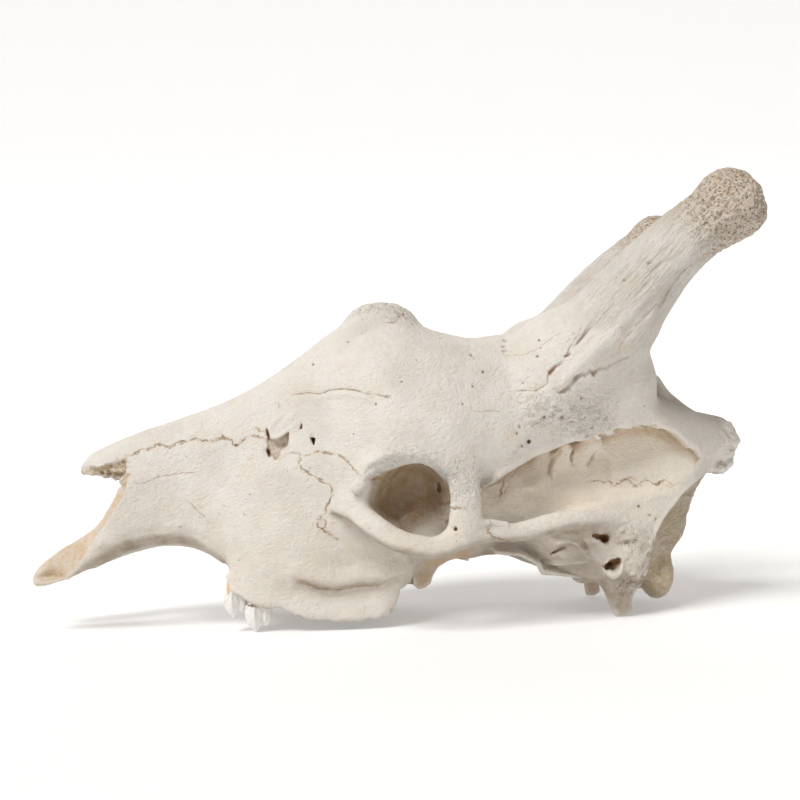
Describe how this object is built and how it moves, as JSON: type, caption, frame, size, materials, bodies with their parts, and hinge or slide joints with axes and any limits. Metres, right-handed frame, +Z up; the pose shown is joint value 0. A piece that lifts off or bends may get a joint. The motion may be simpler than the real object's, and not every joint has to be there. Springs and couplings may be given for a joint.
{
  "type": "giraffe skull",
  "caption": "Adult giraffe skull without its lower jaw, with bony horns, open orbits and toothed upper jaws, resting on its teeth and the tips behind its ears.",
  "frame": {"origin": "centre of the skull's overall box, on the surface it rests on", "axes": "+X runs from the nose to the back of the head, +Y to the skull's right side, +Z up"},
  "size_m": [0.7035, 0.2664, 0.4225],
  "materials": {
    "bone": "matte",
    "enamel": "satin"
  },
  "bodies": {
    "root": {"cranium": "bone", "tooth_left_front": "enamel", "tooth_left_back": "enamel", "tooth_right_front": "enamel", "tooth_right_back": "enamel"}
  },
  "joints": []
}
